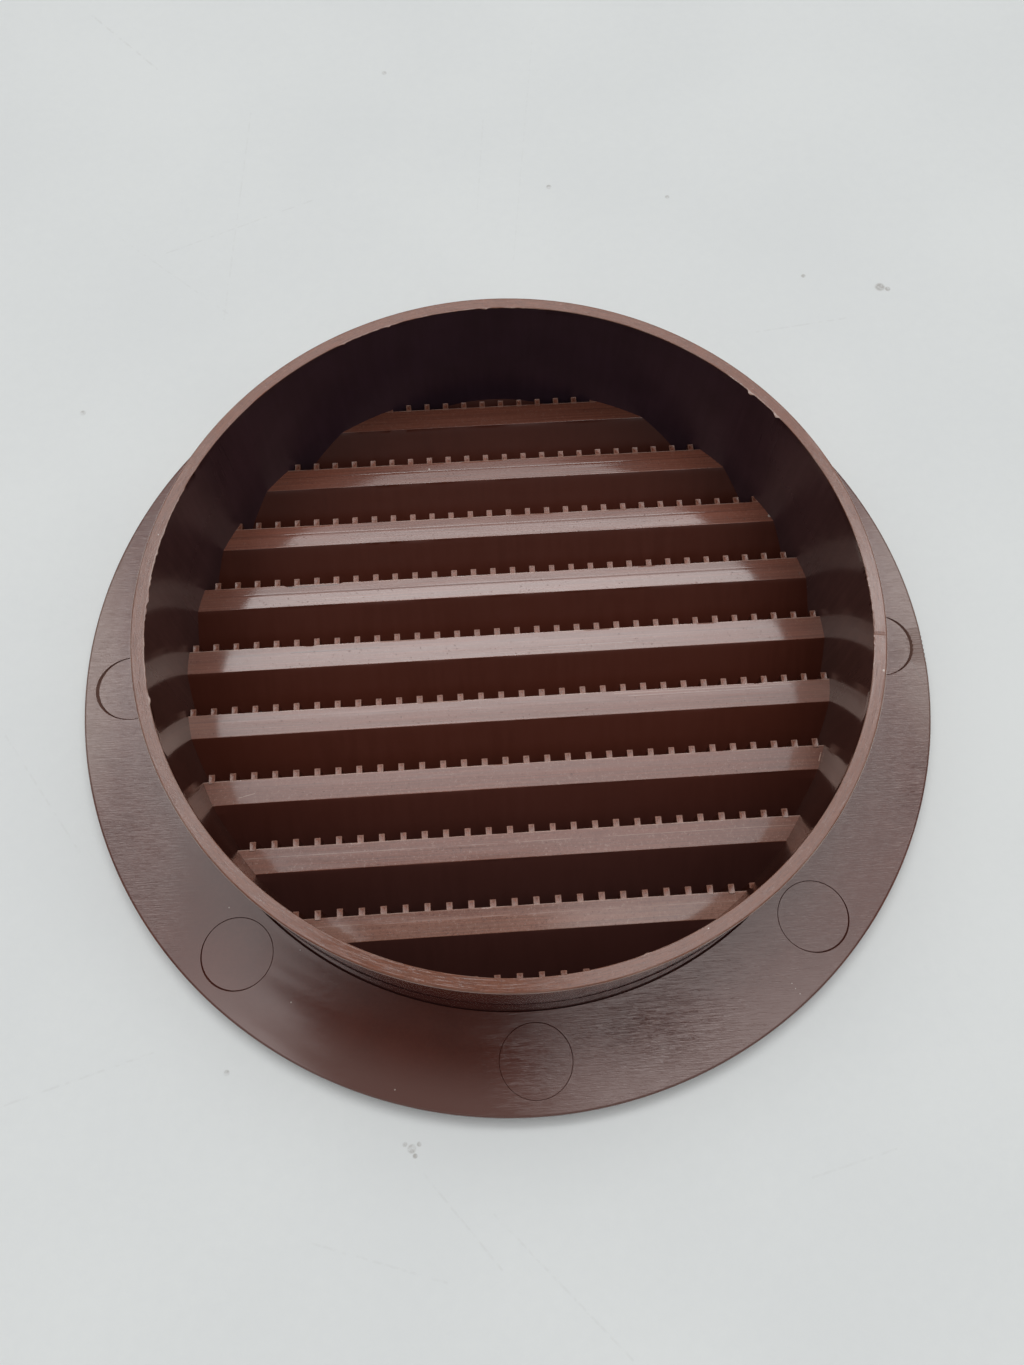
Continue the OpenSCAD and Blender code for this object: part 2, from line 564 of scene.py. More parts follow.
def outer_material():
    """The collar's outside: turned marks round it, lighter towards the rim, with a faint line of
    painted shade on its -X side and painted shade along its root.
    """
    tree, place = new_material("collar_outside")
    x, y, z = tree.split(place)
    lines = fibres(tree, round_place(tree, place), WALL_LINE, roughness=0.6)
    # Faint line of painted shade, on the -X side only
    step = tree.remap(tree.math("ABSOLUTE", tree.minus(z, WALL_SHADE_LINE_Z)), 0.6, 0.2)
    step = tree.times(step, tree.remap(x, -10, 3, 1.0, 0.0))
    # Painted shade in the crease at the collar's root
    root = tree.remap(z, FLANGE_T + ROOT_SHADE_LINE_H, FLANGE_T - ROOT_SHADE_LINE_H)
    colour = tree.mix(tree.remap(lines, 0.4, 0.65), mottle(tree, place, WALL), tinted(WALL, 1.35))
    colour = painted(
        tree, colour,
        (tinted(WORN_RIM, 1.05), tree.remap(z, *WALL_BAND_Z), 0.3),
        (tinted(WORN_RIM, 1.3), tree.remap(z, *WALL_TOP_Z), 0.35),
        (DARK_MARK_AND_SHADE, step, 0.12),
        (DARK_MARK_AND_SHADE, root, 0.8))
    return finish_plastic(tree, colour, tree.vary(lines, 0.04, 0.08), tree.bump(lines, 0.0012))


# Marks on the rim: how long, wide and high one of each kind is, along the turn
RIM_LINE = (2.6, 0.13, 0.5)
RIM_DASH = (3.0, 0.12, 1.0)
RIM_PATCH = (6.0, 6.0, 6.0)
RIM_SPECKS = ((47.2, -12.3, 0.18), (-46.2, 13.0, 0.12), (20.6, -43.2, 0.1))


def rim_edges(tree, place, along):
    """Mask of the rim's light edges, partly wear and partly a painted highlight. The outer one is
    lightest at the right and the far left.
    """
    x = tree.split(place)[0]
    radius = tree.split(along)[1]
    outer = tree.remap(radius, COLLAR_R - 0.3, COLLAR_R - 0.12)
    # The outer edge is lightest at the right and the far left, where part of its light is a painted
    # highlight
    share = tree.largest(tree.remap(x, -10, 20, 0.3, 0.9), tree.remap(x, -20, -36, 0.0, 0.85))
    inner = tree.remap(radius, RIM_INNER_R + 0.12, RIM_INNER_R)
    patchy = tree.vary(fibres(tree, along, RIM_PATCH), 0.15, 1.0)
    return tree.times(tree.largest(tree.times(outer, share), inner), patchy)


def rim_material():
    """The collar's rim: turned marks round it, with light edges that are partly wear and partly a
    painted highlight. Its far left and its right are coarse."""
    tree, place = new_material("collar_rim")
    along = round_place(tree, place)
    x, y = tree.split(place)[:2]
    lines = fibres(tree, along, RIM_LINE, roughness=0.65)
    dark = streaks(tree, along, RIM_DASH, 0.55, 0.7)
    speck = tree.noise(place, scale=2.6, detail=3.0, roughness=0.8)
    # Painted shade darkens the rim at its far left; towards +Y the rim is lighter
    shade = tree.times(tree.remap(x, -36, -42, 1.0, 0.94), tree.remap(y, 10, 30, 1.0, 1.1))
    colour = painted(
        tree, lined(tree, lines, WORN_RIM, 0.86, 1.18),
        (tinted(CLEAN, 0.9), dark, 0.5),
        (CLEAN, tree.remap(speck, 0.57, 0.69), 0.62),
        (WEAR_AND_HIGHLIGHT, tree.remap(speck, 0.42, 0.30), 0.22),
        # Light edges: partly wear, partly a painted highlight
        (WEAR_AND_HIGHLIGHT, rim_edges(tree, place, along), 0.6))
    colour = scaled(tree, colour, shade)
    colour = painted(tree, colour, (DUST, specks(tree, place, RIM_SPECKS), 1.0))
    rough = tree.vary(lines, 0.34, 0.44)
    grain = tree.noise(place, scale=5.0, detail=2.0, roughness=0.7)
    right = tree.times(tree.remap(y, 0, 6), tree.remap(x, 40, 46), 2.0)
    coarse = tree.largest(tree.remap(x, -37, -43, 0.7, 6.0), right)
    normal = tree.bump(tree.plus(tree.times(lines, 0.6), tree.times(grain, coarse)), 0.006)
    normal = tree.bump(tree.minus(1.0, dark), 0.007, normal)
    return finish_plastic(tree, colour, rough, normal, WORN_IOR, polish=1.0, polish_rough=0.08)


WALL_STREAK = (0.8, 5.0, 9.0)


def inner_material():
    """The collar's polished inside, with faint upright streaks. It is duller on the far side and
    towards its foot."""
    tree, place = new_material("collar_inside")
    upright = fibres(tree, round_place(tree, place), WALL_STREAK)
    x, y, z = tree.split(place)
    hue = tree.mix(tree.remap(y, -10, 48), WALL_NEAR, WALL_FAR)
    shade = tree.remap(tree.noise(place, scale=0.12, detail=3.0), 0.3, 0.7, 0.9, 1.1)
    shade = tree.times(shade, tree.remap(upright, 0.35, 0.7, 0.98, 1.1))
    far = tree.remap(y, -12, 42, 0.0, 0.24, smooth=False)
    foot = tree.remap(z, 18, 12, 0.0, 0.07)
    rough = tree.plus(tree.vary(upright, 0.097, 0.113), far, foot)
    return finish_plastic(tree, scaled(tree, hue, shade), rough, tree.bump(upright, 0.0005),
                          WALL_IOR, polish=1.0, polish_rough=0.15, polish_ior=FILM_IOR,
                          polish_tint=FILM_TINT)


# Along each land runs a witness line of the mould, this far from the outer edge. Beyond it,
# beside the comb, the land is matt.
LAND_LINES = {-5: 2.2, -4: 2.25, -3: 2.2, -2: 2.3, -1: 2.4, 0: 2.35,
              1: 2.15, 2: 2.1, 3: 2.05, 4: 2.0, 5: 2.0}
LAND_LINE_W = 0.08
LAND_LINE_D = 0.006
NEAR_LINE_D = 0.001
LAND_BAND_W = 0.28
LAND_BAND_RISE = 0.001
# How far a land falls towards its outer edge, and towards its lip from slat to slat
LAND_FALL_OUT = 0.030
LAND_FALL_IN = 0.004
LAND_FALL_STEP = 0.004
# How far the near lands sink beside the collar wall, and over what width
LAND_SAG = 0.25
LAND_SAG_W = 5.0
# Marks on the lands: how long, wide and high one of each kind is
LAND_LINE = (26, 0.16, 6.0)
LAND_HAIR = (9.0, 0.1, 6.0)
STRIP_LINE = (14, 0.18, 6.0)
STRIP_PATCH = (5.0, 9.0, 6.0)
WITNESS_PATCH = (7.0, 9.0, 6.0)
WITNESS_HAIR = (6.0, 0.1, 6.0)
FACE_STREAK = (0.9, 7.0, 7.0)
PIT_SIZE = 0.32
LAND_SPECKS = ((-10.5, 32.9, 0.2), (41.9, 21.4, 0.3), (8.9, -35.9, 0.14), (-39.8, -25.3, 0.16),
               (39.6, -25.3, 0.16), (0.6, -29.9, 0.16), (12.5, 27.8, 0.12))
LAND_SCRATCHES = (((-39.2, -18.6), (-37.0, -18.1), 0.1, 0.7), ((43.7, -17.1), (43.2, -18.3), 0.12, 0.9),
                  ((15.0, -6.4), (41.0, -6.45), 0.08, 0.5), ((17.0, -6.85), (38.0, -6.85), 0.08, 0.4),
                  ((-27.4, 11.5), (-20.0, 11.45), 0.07, 0.35), ((6.0, 1.6), (19.0, 1.65), 0.07, 0.35))
LAND_CUTS = (((-32.4, 13.65), (-25.0, 13.7), 0.14, 0.8), ((-32.0, 2.95), (-19.0, 3.05), 0.12, 0.6),
             ((-8.0, 3.1), (1.5, 3.0), 0.08, 0.35))
# Chips in the lips: slat, place along X, half width and depth
LIP_CHIPS = ((1, -32.3, 0.6, 0.3), (1, -24.9, 0.4, 0.12), (0, -29.3, 1.2, 0.12), (-1, 36.0, 0.8, 0.08))


def land_colour(tree, place, colour, near_tint):
    """A land's colour with fine lines along X, cuts, scratches and specks, most towards -Y. The ends of
    the far lands are lighter, and the nearest land takes a lighter, greyer tint that is partly wear and
    partly painted sheen."""
    x, y = tree.split(place)[:2]
    far_end = tree.times(tree.remap(y, 18, 22), tree.remap(tree.math("ABSOLUTE", x), 20, 30, 0.0, 0.25))
    speck = tree.noise(place, scale=2.4, detail=3.0, roughness=0.85)
    speckled = tree.remap(y, -8, -24, 0.35, 1.0)
    hairs = streaks(tree, place, LAND_HAIR, 0.56, 0.68)
    colour = painted(tree, colour, (CLEAN, hairs, 0.3))
    colour = scaled(tree, colour, tree.plus(far_end, 1.0))
    # Lighter, greyer tint on the nearest land: partly wear, partly painted sheen
    colour = tree.vector("MULTIPLY", colour, tree.mix(tree.remap(y, -28, -36), WHITE, near_tint))
    return painted(
        tree, colour,
        (tinted(CLEAN, 1.2), tree.times(tree.remap(speck, 0.55, 0.66), speckled), 0.6),
        (WEAR_AND_HIGHLIGHT, tree.times(tree.remap(speck, 0.44, 0.34), speckled), 0.36),
        (DARK_MARK_AND_SHADE, scratches(tree, place, LAND_CUTS), 1.0),
        (tinted(WEAR_AND_HIGHLIGHT, 1.2), scratches(tree, place, LAND_SCRATCHES), 1.0))


def main_land_material():
    """The outer part of each land: glossy, with fine lines along X and a few pits."""
    tree, place = new_material("slat_land")
    lines = fibres(tree, place, LAND_LINE, roughness=0.65)
    pits = tree.remap(tree.noise(place, 1 / PIT_SIZE, detail=1.0, roughness=0.4), 0.71, 0.76)
    colour = land_colour(tree, place, lined(tree, lines, WORN_LAND, 0.84, 1.18), NEAR_LAND_WEAR_AND_SHEEN_TINT)
    colour = painted(tree, colour, (CLEAN, pits, 0.7),
                     (DUST, specks(tree, place, LAND_SPECKS), 0.8))
    rough = tree.vary(lines, 0.34, 0.42)
    normal = tree.bump(tree.minus(1.0, pits), 0.01, tree.bump(lines, 0.0035))
    return finish_plastic(tree, colour, rough, normal, WORN_IOR, polish=0.95, polish_rough=0.1)


def strip_material():
    """The strip of each land beside the comb: matt and grainy, with a painted highlight along its lip.
    """
    tree, place = new_material("slat_strip")
    row = tree.math("DIVIDE", tree.minus(tree.split(place)[1], SLAT_OFFSET), SLAT_PITCH)
    across = tree.times(tree.math("FRACT", row), SLAT_PITCH)
    lines = fibres(tree, place, STRIP_LINE, roughness=0.65)
    grain = tree.noise(place, scale=4.0, detail=3.0, roughness=0.8)
    # Painted highlight along the lip's edge
    lip = tree.times(tree.remap(across, LAND_W - 0.16, LAND_W - 0.08),
                     streaks(tree, place, STRIP_PATCH, 0.3, 0.6))
    colour = land_colour(tree, place, lined(tree, lines, WORN_LAND, 0.86, 1.2), NEAR_STRIP_WEAR_AND_SHEEN_TINT)
    colour = painted(
        tree, colour,
        (CLEAN, tree.remap(grain, 0.58, 0.68), 0.35),
        (WEAR_AND_HIGHLIGHT, tree.remap(grain, 0.42, 0.32), 0.12),
        (tinted(WEAR_AND_HIGHLIGHT, 1.2), lip, 0.7),
        (DUST, specks(tree, place, LAND_SPECKS), 0.8))
    rough = tree.vary(grain, 0.3, 0.38)
    normal = tree.bump(tree.plus(tree.times(lines, 0.5), tree.times(grain, 0.5)), 0.007)
    return finish_plastic(tree, colour, rough, normal, WORN_IOR, polish=0.85, polish_rough=0.13)


def witness_material():
    """The witness line between the two parts of a land: broken here and there, dark on the far
    and left lands and light on the nearest."""
    tree, place = new_material("slat_witness")
    x, y = tree.split(place)[:2]
    broken = streaks(tree, place, WITNESS_PATCH, 0.35, 0.6)
    fine = fibres(tree, place, WITNESS_HAIR, 2.0)
    worn = tree.largest(tree.remap(y, -8, 12, 0.3, 1.0), tree.remap(x, -5, -22, 0.3, 0.9))
    dark = tree.times(broken, worn, tree.remap(fine, 0.35, 0.6, 0.3, 0.65))
    light = tree.times(broken, tree.remap(y, -22, -27))
    colour = painted(tree, WORN_LAND, (tinted(DARK_MARK_AND_SHADE, 1.5), dark, 1.0),
                     (tinted(WEAR_AND_HIGHLIGHT, 1.3), light, 0.55))
    return finish_plastic(tree, colour, 0.4, tree.bump(fine, 0.004), WORN_IOR, polish=0.8)


def face_material():
    """The slats' sloping faces: clean, with faint streaks down the slope, and painted shade on the
    nearest slopes, which get less red bounce light.
    """
    tree, place = new_material("slat_face")
    down = fibres(tree, place, FACE_STREAK)
    colour = tree.mix(tree.remap(down, 0.35, 0.7), mottle(tree, place, FACE, 0.05), tinted(FACE, 1.06))
    # Painted shade: the nearest slopes get less red bounce light
    nearness = tree.remap(tree.split(place)[1], -8, -36)
    colour = tree.vector("MULTIPLY", colour, tree.mix(nearness, WHITE, NEAR_FACE_SHADE_TINT))
    return finish_plastic(tree, colour, tree.vary(down, 0.36, 0.40), tree.bump(down, 0.0004),
                          FACE_IOR)


def bar_material():
    """The comb bars: worn light on top and darker in the dish."""
    tree, place = new_material("comb_bar")
    z = tree.split(place)[2]
    grain = tree.noise(place, scale=4.0, detail=3.0, roughness=0.8)
    top = tree.remap(z, LAND_Z - 0.35, LAND_Z - 0.14)
    border = tree.remap(z, LAND_Z - 0.1, LAND_Z - 0.03)
    worn = tree.mix(tree.remap(grain, 0.4, 0.6), tinted(BAR_WORN, 0.7), tinted(BAR_WORN, 1.3))
    worn = painted(tree, worn, (WEAR_AND_HIGHLIGHT, border, 0.3))
    colour = tree.mix(top, mottle(tree, place, CLEAN), worn)
    return finish_plastic(tree, colour, tree.vary(grain, 0.3, 0.4), tree.bump(grain, 0.008))


# Flange and collar


def shell_profile():
    """Closed outline of half the flange and collar, in zones that each take a material."""
    foot = wall_r(0)
    groove = ROOT_GROOVE_W / 2
    edge = FLANGE_R - BACK_EDGE_R
    swell_top = FLANGE_T + ROOT_SWELL_H
    outer_low, inner_low = RIM_Z - RIM_OUTER_EDGE_R, RIM_Z - RIM_INNER_EDGE_R
    rim_from, rim_to = COLLAR_R - RIM_OUTER_EDGE_R, RIM_INNER_R + RIM_INNER_EDGE_R
    return [
        ("front", flat_line((foot, 0), (FLANGE_R - FRONT_EDGE_R, 0), 3)),
        ("flange", arc((FLANGE_R - FRONT_EDGE_R, FRONT_EDGE_R), FRONT_EDGE_R, -90, 0, 8)),
        ("flange", arc((edge, FLANGE_T - BACK_EDGE_R), BACK_EDGE_R, 0, 90, 6)),
        ("flange", flat_line((edge, FLANGE_T), (ROOT_R + groove, FLANGE_T), 26)),
        ("outer", [(ROOT_R, FLANGE_T - ROOT_GROOVE_D)]),
        ("outer", line((ROOT_R - groove, FLANGE_T), (COLLAR_R, swell_top), 6)),
        ("outer", flat_line((COLLAR_R, swell_top), (COLLAR_R, outer_low), 5)),
        ("rim", arc((rim_from, outer_low), RIM_OUTER_EDGE_R, 0, 90, 7)),
        ("rim", flat_line((rim_from, RIM_Z), (rim_to, RIM_Z), 6)),
        ("rim", arc((rim_to, inner_low), RIM_INNER_EDGE_R, 90, 180, 4)),
        ("inner", flat_line((RIM_INNER_R, inner_low), (foot, 0), 20)),
    ]


def turn_angles():
    """Angles of the lathe's rings, closer together where the flange is rippled."""
    fine_from, fine_to = RIPPLED_TURN
    fine_count = int((fine_to - fine_from) / RIPPLED_TURN_STEP)
    coarse_count = int((360 + fine_from - fine_to) / TURN_STEP)
    return ([fine_from + RIPPLED_TURN_STEP * i for i in range(fine_count)]
            + [fine_to + TURN_STEP * i for i in range(coarse_count)])


def burr_reach(angle):
    """How far the ragged burr on the rim's inner edge stands in at one angle."""
    ragged = 0.5 + 0.5 * wave(angle, 1, 1.1)
    torn = smooth_between(wave(angle, 3, 0.55), 0.2, 0.3)
    reach = 0.02 * ragged
    for at, half_width, burr in BURRS:
        away = turn_between(angle, at) / half_width
        reach += burr * (1 - smooth_between(away, 0.4, 1.0)) * (0.6 * ragged + 0.4 * torn)
    for at, half_width, tooth in TEETH:
        away = turn_between(angle, at) / half_width
        reach += tooth * (1 - smooth_between(away, 0.5, 1.0)) * (0.7 + 0.3 * wave(angle, 4, 0.3))
    return reach


def ripple_crest(x, y):
    """How deep the ripples in the flange's edge are at one place, and how near its middle that is."""
    away = math.hypot((x - RIPPLE_AT[0]) / RIPPLE_SPREAD[0], (y - RIPPLE_AT[1]) / RIPPLE_SPREAD[1])
    crest = 0.5 + 0.5 * math.cos(2 * math.pi * y / RIPPLE_PITCH + wave(x, 5, 1.2))
    return RIPPLE_D * crest, max(1 - away, 0)


def shell_shift(r, z, angle):
    """How far a point of the lathe moves out and up from its turned place."""
    out = up = 0.0
    burr_root = RIM_INNER_R + RIM_INNER_EDGE_R
    if z > RIM_Z - RIM_INNER_EDGE_R - 0.01 and r < burr_root + 0.01:
        out -= burr_reach(angle) * (burr_root - r) / RIM_INNER_EDGE_R
    if z > RIM_Z - 0.001:
        into = math.radians(turn_between(angle, RIM_STEP_AT)) * COLLAR_R
        up -= RIM_STEP_D * (1 - smooth_between(into, RIM_STEP_W * 0.6, RIM_STEP_W))
        up -= RIM_WAVER * (1 + wave(angle, r * 2, 5.0))
    if abs(z - FLANGE_T) < 0.001 and r > ROOT_R + ROOT_GROOVE_W:
        up -= FLANGE_WAVER * (1 + wave(angle * r / 60, r / 9, 9.0))
    if z > FLANGE_T - BACK_EDGE_R - 0.01:
        turn = math.radians(angle)
        depth, nearness = ripple_crest(r * math.cos(turn), r * math.sin(turn))
        up -= depth * nearness ** 0.5
        out -= depth * nearness
    return out, up


def make_shell():
    """The flange and collar, turned as one closed ring."""
    materials = {"front": front_material(), "flange": flange_material(),
                 "outer": outer_material(), "rim": rim_material(), "inner": inner_material()}
    names = list(materials)
    outline = [(zone, p) for zone, points in shell_profile() for p in points]
    outline = [row for row, before in zip(outline, outline[-1:] + outline)
               if math.dist(row[1], before[1]) > 1e-6]
    angles = turn_angles()
    count = len(outline)
    verts, faces, zones = [], [], []
    for angle in angles:
        turn = math.radians(angle)
        for zone, (r, z) in outline:
            out, up = shell_shift(r, z, angle)
            verts.append(((r + out) * math.cos(turn), (r + out) * math.sin(turn), z + up))
    for j in range(len(angles)):
        following = (j + 1) % len(angles)
        for i, (zone, p) in enumerate(outline):
            beside = (i + 1) % count
            faces.append((j * count + i, j * count + beside,
                          following * count + beside, following * count + i))
            zones.append(names.index(outline[beside][0] if zone == "front" else zone))
    return closed_piece("shell", verts, faces, materials.values(), zones, SHELL_SHARP)


def mark_section(i, at, phi):
    """Radius and height of one mark's cutter in the direction phi from the mark's middle: a
    shallow floor and a groove, whose shoulder is worn wider away from the collar."""
    outward = max(0.0, math.cos(phi - at)) ** 2 * abs(math.cos(at)) ** 3
    ragged = 0.5 + 0.5 * wave(math.degrees(phi), 20 + i, 22.0)
    shoulder = MARK_R + MARK_SHOULDER * (0.6 + 0.8 * ragged) + MARK_WEAR * outward
    floor = FLANGE_T - MARK_DEPTH
    return [(MARK_R - 0.4, floor), (MARK_R - 0.08, floor), (MARK_R - 0.05, floor - 0.02),
            (MARK_R, FLANGE_T - MARK_GROOVE_D * (1 + 2 * outward)), (shoulder, FLANGE_T),
            (shoulder + MARK_CLEARANCE, FLANGE_T + MARK_CLEARANCE)]


def mark_cutter(i, materials, zone):
    """The closed shape that ejector mark i takes out of the flange."""
    at = math.radians(i * 360 / MARK_COUNT)
    verts, faces = [], []
    for j in range(MARK_STEPS):
        phi = math.radians(j * 360 / MARK_STEPS)
        section = mark_section(i, at, phi)
        verts += [(MARK_RING_R * math.cos(at) + r * math.cos(phi),
                   MARK_RING_R * math.sin(at) + r * math.sin(phi), z) for r, z in section]
    rings = len(section)
    for j in range(MARK_STEPS):
        k = (j + 1) % MARK_STEPS
        for n in range(rings - 1):
            faces.append((j * rings + n, j * rings + n + 1, k * rings + n + 1, k * rings + n))
    faces.append([j * rings for j in range(MARK_STEPS)])
    faces.append([j * rings + rings - 1 for j in reversed(range(MARK_STEPS))])
    return closed_piece("mark_cutter", verts, faces, materials, [zone] * len(faces))


def cut_ejector_marks(shell):
    """Cuts the ejector marks into the flange's back."""
    materials = list(shell.data.materials)
    zone = [material.name for material in materials].index("flange_back")
    for i in range(MARK_COUNT):
        cutter = mark_cutter(i, materials, zone)
        cut = shell.modifiers.new("mark", "BOOLEAN")
        cut.operation = "DIFFERENCE"
        cut.solver = "MANIFOLD"
        cut.object = cutter
        depsgraph = bpy.context.evaluated_depsgraph_get()
        cut_mesh = bpy.data.meshes.new_from_object(shell.evaluated_get(depsgraph))
        shell.modifiers.clear()
        shell.data = cut_mesh
        bpy.data.objects.remove(cutter)
    shell.data.set_sharp_from_angle(angle=math.radians(SHELL_SHARP))


# Slats and comb bars


def land_place(k):
    """Place along Y of the outer edge of slat k's land."""
    return SLAT_OFFSET + k * SLAT_PITCH - (WALL_SLAT_SHIFT if k == LAST_SLAT else 0)


def clip(points, limit):
    """The part of a closed outline with y between -limit and limit."""
    for side in (1, -1):
        kept = []
        for (y0, z0), (y1, z1) in zip(points[-1:] + points, points):
            inside0, inside1 = side * y0 <= limit, side * y1 <= limit
            if inside0 != inside1:
                t = (side * limit - y0) / (y1 - y0)
                kept.append((side * limit, lerp(z0, z1, t)))
            if inside1:
                kept.append((y1, z1))
        points = kept
    return points


def slat_outline(k):
    """Closed cross-section of slat k. Its witness line is a fine groove."""
    corner = LAND_EDGE_R * math.tan(math.radians(SLAT_ANGLE / 2))
    line_at, groove = LAND_LINES[k], LAND_LINE_W / 2
    line_d = LAND_LINE_D if k > 0 else NEAR_LINE_D
    face_low, face_high = LAND_Z * 0.04, LAND_Z - 0.4
    edge_z = LAND_Z - LAND_FALL_OUT
    lip_z = LAND_Z - LAND_FALL_IN - LAND_FALL_STEP * k
    lip_foot = LAND_Z - LIP_H
    points = [(-slope_run(LAND_Z - SLAT_FOOT), SLAT_FOOT)]
    points += line((-slope_run(LAND_Z - face_low), face_low),
                   (-slope_run(LAND_Z - face_high), face_high), 14)
    points += arc((corner, edge_z - LAND_EDGE_R), LAND_EDGE_R, 90 + SLAT_ANGLE, 90, 4)
    points += line((corner + FLAT_MARGIN, edge_z), (line_at - groove, LAND_Z), 7)
    points += [(line_at, LAND_Z - line_d), (line_at + groove, LAND_Z),
               (line_at + LAND_BAND_W / 2, LAND_Z + LAND_BAND_RISE)]
    points += line((line_at + LAND_BAND_W, LAND_Z), (LAND_W - FLAT_MARGIN, lip_z), 5)
    points += [(LAND_W, lip_z - LIP_EDGE), (LAND_W, lip_foot)]
    points += line((LAND_W - FLAT_MARGIN, lip_foot - FLAT_MARGIN),
                   (LAND_W - slope_run(lip_foot - SLAT_FOOT), SLAT_FOOT), 6)
    return [(land_place(k) + y, z) for y, z in points]


def lip_chip(x, k):
    """How far the lip of slat k is chipped back at x."""
    return sum(depth * (1 - smooth_between(abs(x - at) / half_width, 0.3, 1.0))
               for row, at, half_width, depth in LIP_CHIPS if row == k)


def land_sag(x, y):
    """How far the lands of the near half sink beside the collar wall."""
    into = max(0.0, math.hypot(x, y) - (wall_r(LAND_Z) - LAND_SAG_W)) / LAND_SAG_W
    return LAND_SAG * into * into * smooth_between(-y, 8, 18)


def slat_shift(k, n, x, y, z):
    """How far point n of slat k's outline wanders along Y and sinks at x."""
    across = y - land_place(k)
    if z > LAND_Z - 0.1 and 0.2 < across < LAND_W - 0.2:
        wander = LINE_WANDER * wave(x, k * 1.3, 40.0)
    else:
        wander = SLAT_WANDER * wave(x, k + n / 5, 5.0)
    if z > LAND_Z - LIP_H - 0.01 and across > LAND_W - 0.1:
        wander -= lip_chip(x, k) + LIP_WANDER * abs(wave(x, k * 1.7, 0.9))
    lift = SLAT_WAVER * wave(x, k * 2 + y / 3, 9.0) if z > 0.5 else 0
    if z > LAND_Z - LIP_H:
        lift -= land_sag(x, y)
    return wander, min(lift, 0)


MAIN_ZONE, WITNESS_ZONE, STRIP_ZONE, FACE_ZONE = range(4)


def land_zone(k, start, end):
    """Which material a face of slat k takes, between two points of its outline."""
    (y0, z0), (y1, z1) = start, end
    across0, across1 = y0 - land_place(k), y1 - land_place(k)
    if min(z0, z1) < LAND_Z - 0.25 or max(across0, across1) > LAND_W + 0.01:
        return FACE_ZONE
    middle = (across0 + across1) / 2
    if abs(middle - LAND_LINES[k]) < LAND_LINE_W / 2:
        return WITNESS_ZONE
    return MAIN_ZONE if middle < LAND_LINES[k] + LAND_BAND_W else STRIP_ZONE


def make_slats(materials):
    """All the slats, each lofted along X and ending just inside the collar wall."""
    row = SLAT_STEPS + 1
    verts, faces, zones = [], [], []
    for k in range(FIRST_SLAT, LAST_SLAT + 1):
        outline = clip(slat_outline(k), wall_r(LAND_Z) + WALL_BITE - 0.01)
        if len(outline) < 3:
            continue
        first, count = len(verts), len(outline)
        for n, (y, z) in enumerate(outline):
            reach = math.sqrt(max((wall_r(z) + WALL_BITE) ** 2 - y * y, 0.01))
            for j in range(row):
                x = reach * (2 * j / SLAT_STEPS - 1)
                wander, lift = slat_shift(k, n, x, y, z)
                verts.append((x, y + wander, z + lift))
        for n in range(count):
            m = (n + 1) % count
            for j in range(SLAT_STEPS):
                a, b = first + n * row + j, first + m * row + j
                faces.append((a, a + 1, b + 1, b))
            zones += [land_zone(k, outline[n], outline[m])] * SLAT_STEPS
        for j in (0, SLAT_STEPS):
            faces.append([first + n * row + j for n in range(count)])
            zones.append(FACE_ZONE)
    return closed_piece("slats", verts, faces, materials, zones)


def bar_places():
    """Middle of each comb bar and the place of its slat's lip."""
    opening_r = wall_r(LAND_Z) + COMB_BITE
    for k in range(FIRST_SLAT, LAST_SLAT + 1):
        lip_y = land_place(k) + LAND_W
        if abs(lip_y) >= opening_r:
            continue
        side = int(math.sqrt(opening_r ** 2 - lip_y ** 2) / BAR_PITCH + 0.5)
        for i in range(-side, side):
            yield (i + 0.5) * BAR_PITCH, lip_y


def bar_rings(x, lip_y, dice):
    """Outlines of one bar from its foot to its dished top, as pairs of points and height. Its
    top runs back over the lip as a low root."""
    left = x - BAR_W / 2 + dice.uniform(-0.03, 0.03)
    right = x + BAR_W / 2 + dice.uniform(-0.03, 0.03)
    front = lip_y + BAR_REACH + dice.uniform(-0.05, 0.03)
    top = LAND_Z - BAR_DROP + dice.uniform(0, BAR_DROP)

    def outline(back, inset):
        corner = BAR_EDGE + 0.6 * inset
        return [(left + inset, back + inset), (right - inset, back + inset),
                (right - inset, front - corner), (right - corner, front - inset),
                (left + corner, front - inset), (left + inset, front - corner)]

    column, head = outline(lip_y - BAR_BITE, 0), outline(lip_y - BAR_ROOT, 0)
    face = outline(lip_y - BAR_ROOT, BAR_EDGE)
    middle = (lip_y + front) / 2 + 0.05
    dish = [(lerp(x, a, BAR_DISH_SHARE), lerp(middle, max(b, lip_y), BAR_DISH_SHARE)) for a, b in face]
    return [(column, BAR_FOOT), (column, LAND_Z - LIP_H), (head, LAND_Z - LIP_H + 0.1),
            (head, top - BAR_EDGE), (face, top), (dish, top - BAR_DISH)]


def make_bars(materials):
    """The upright bars of the insect comb, each with softened edges and a dished top."""
    dice = random.Random(SEED)
    verts, faces = [], []
    for x, lip_y in bar_places():
        rings = bar_rings(x, lip_y, dice)
        if math.hypot(abs(x) + BAR_W / 2, abs(lip_y + BAR_REACH / 2)) > wall_r(0) + COMB_BITE:
            continue
        first, n = len(verts), len(rings[0][0])
        for outline, z in rings:
            verts += [(a, b, z) for a, b in outline]
        for level in range(len(rings) - 1):
            for j in range(n):
                a, b = first + level * n + j, first + level * n + (j + 1) % n
                faces.append((a, b, b + n, a + n))
        faces.append([first + j for j in reversed(range(n))])
        faces.append([len(verts) - n + j for j in range(n)])
    return closed_piece("comb_bars", verts, faces, materials, sharp=BAR_SHARP)


# Paper, light and camera

